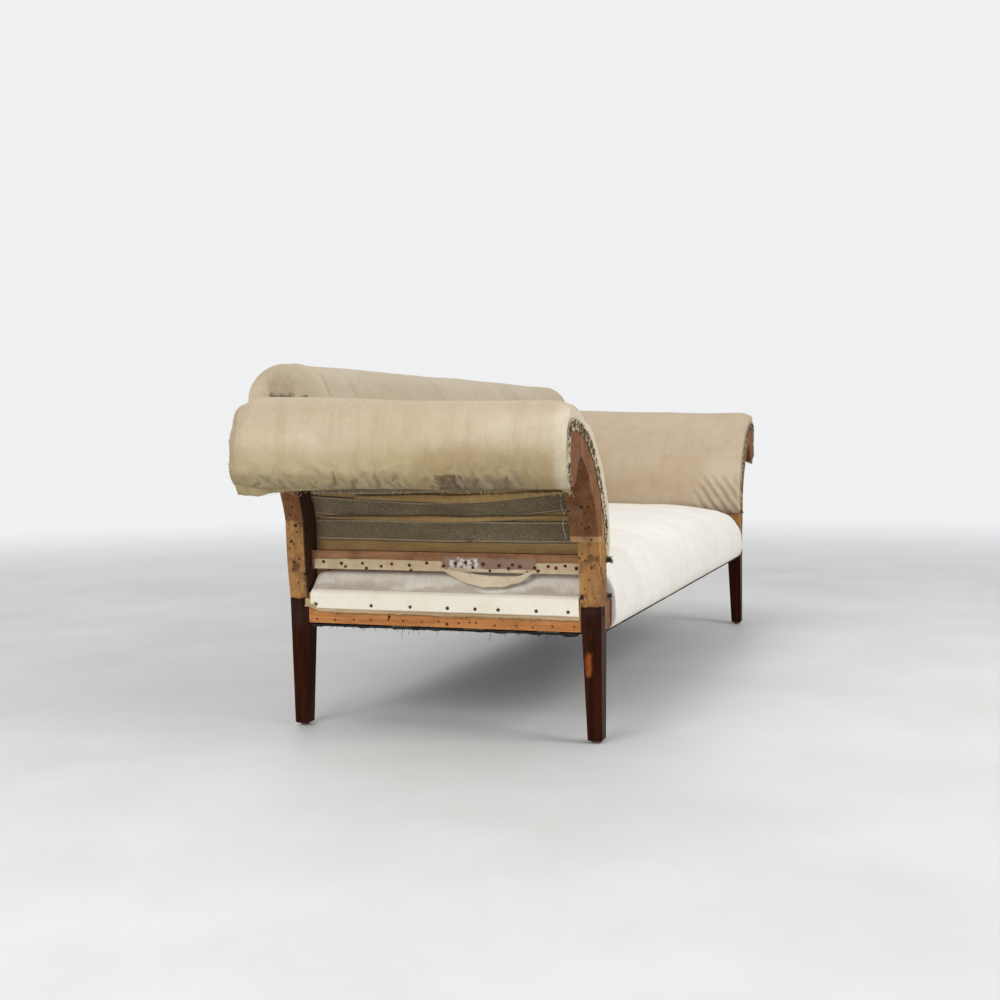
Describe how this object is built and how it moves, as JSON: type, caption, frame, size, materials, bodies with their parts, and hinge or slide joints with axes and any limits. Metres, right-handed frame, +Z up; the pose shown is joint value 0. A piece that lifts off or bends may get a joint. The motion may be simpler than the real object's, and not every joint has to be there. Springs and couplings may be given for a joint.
{
  "type": "recamier",
  "caption": "Long scroll-arm couch with a scrolled back and sprung seat on square tapered legs, stripped to its calico, webbing and bare frame.",
  "frame": {"origin": "on the floor, under the middle of the whole couch", "axes": "+X along the couch to the sitter's left hand, -Y the way a sitter faces, +Z up; the end seen nearest in the picture is the one at -X"},
  "size_m": [2.619, 0.8895, 0.8707],
  "materials": {
    "leg_wood": "stained and polished below the seat, bare and worn above",
    "scroll_wood": "bare reddish wood with frayed cloth edges",
    "frame_beech": "bare sawn beech",
    "peg_wood": "bare turned beech",
    "old_calico": "aged plain cotton cloth, stained",
    "white_calico": "newer plain cotton cloth",
    "hessian": "coarse open-woven jute cloth",
    "webbing": "dark herringbone webbing with a pale edge stripe",
    "stuffing": "curled hair and fibre",
    "black_cloth": "thin black lining, torn at its edge",
    "spring_steel": "coppery drawn wire",
    "tack_steel": "blued steel, slightly rusty",
    "glide_steel": "dull pressed steel"
  },
  "bodies": {
    "root": {"arm_calico_left": "old_calico", "arm_calico_right": "old_calico", "arm_hessian_left": "hessian", "arm_hessian_right": "hessian", "arm_lip_rail_left": "frame_beech", "arm_lip_rail_right": "frame_beech", "arm_stuff_rail_left": "frame_beech", "arm_stuff_rail_right": "frame_beech", "arm_stuffing_left": "stuffing", "arm_stuffing_right": "stuffing", "arm_top_rail_left": "frame_beech", "arm_top_rail_right": "frame_beech", "arm_webbing_left": "webbing", "arm_webbing_right": "webbing", "back_calico": "old_calico", "back_crest_rail": "frame_beech", "back_end_upright_left": "frame_beech", "back_end_upright_right": "frame_beech", "back_hessian": "hessian", "back_lip_rail": "frame_beech", "back_middle_upright_left": "frame_beech", "back_middle_upright_right": "frame_beech", "back_stuff_rail": "frame_beech", "back_stuffing": "stuffing", "back_webbing": "webbing", "band_tacks": "tack_steel", "bottoming_cloth": "black_cloth", "corner_block_front_left": "frame_beech", "corner_block_front_right": "frame_beech", "corner_block_rear_left": "frame_beech", "corner_block_rear_right": "frame_beech", "foot_glides": "glide_steel", "frame_pegs": "peg_wood", "leg_post_front_left": "leg_wood", "leg_post_front_right": "leg_wood", "leg_post_rear_left": "leg_wood", "leg_post_rear_right": "leg_wood", "scroll_board_front_left": "scroll_wood", "scroll_board_front_right": "scroll_wood", "scroll_board_rear_left": "scroll_wood", "scroll_board_rear_right": "scroll_wood", "seat_back_rail": "frame_beech", "seat_brace_left": "frame_beech", "seat_brace_right": "frame_beech", "seat_calico": "white_calico", "seat_end_flap_left": "white_calico", "seat_end_flap_right": "white_calico", "seat_end_rail_left": "frame_beech", "seat_end_rail_right": "frame_beech", "seat_end_stuffing_left": "stuffing", "seat_end_stuffing_right": "stuffing", "seat_front_rail": "frame_beech", "seat_springs": "spring_steel", "seat_stuffing": "stuffing", "seat_webbing": "webbing", "spring_hessian": "hessian", "stuff_rail_remnant_left": "old_calico", "stuff_rail_remnant_right": "old_calico"}
  },
  "joints": []
}
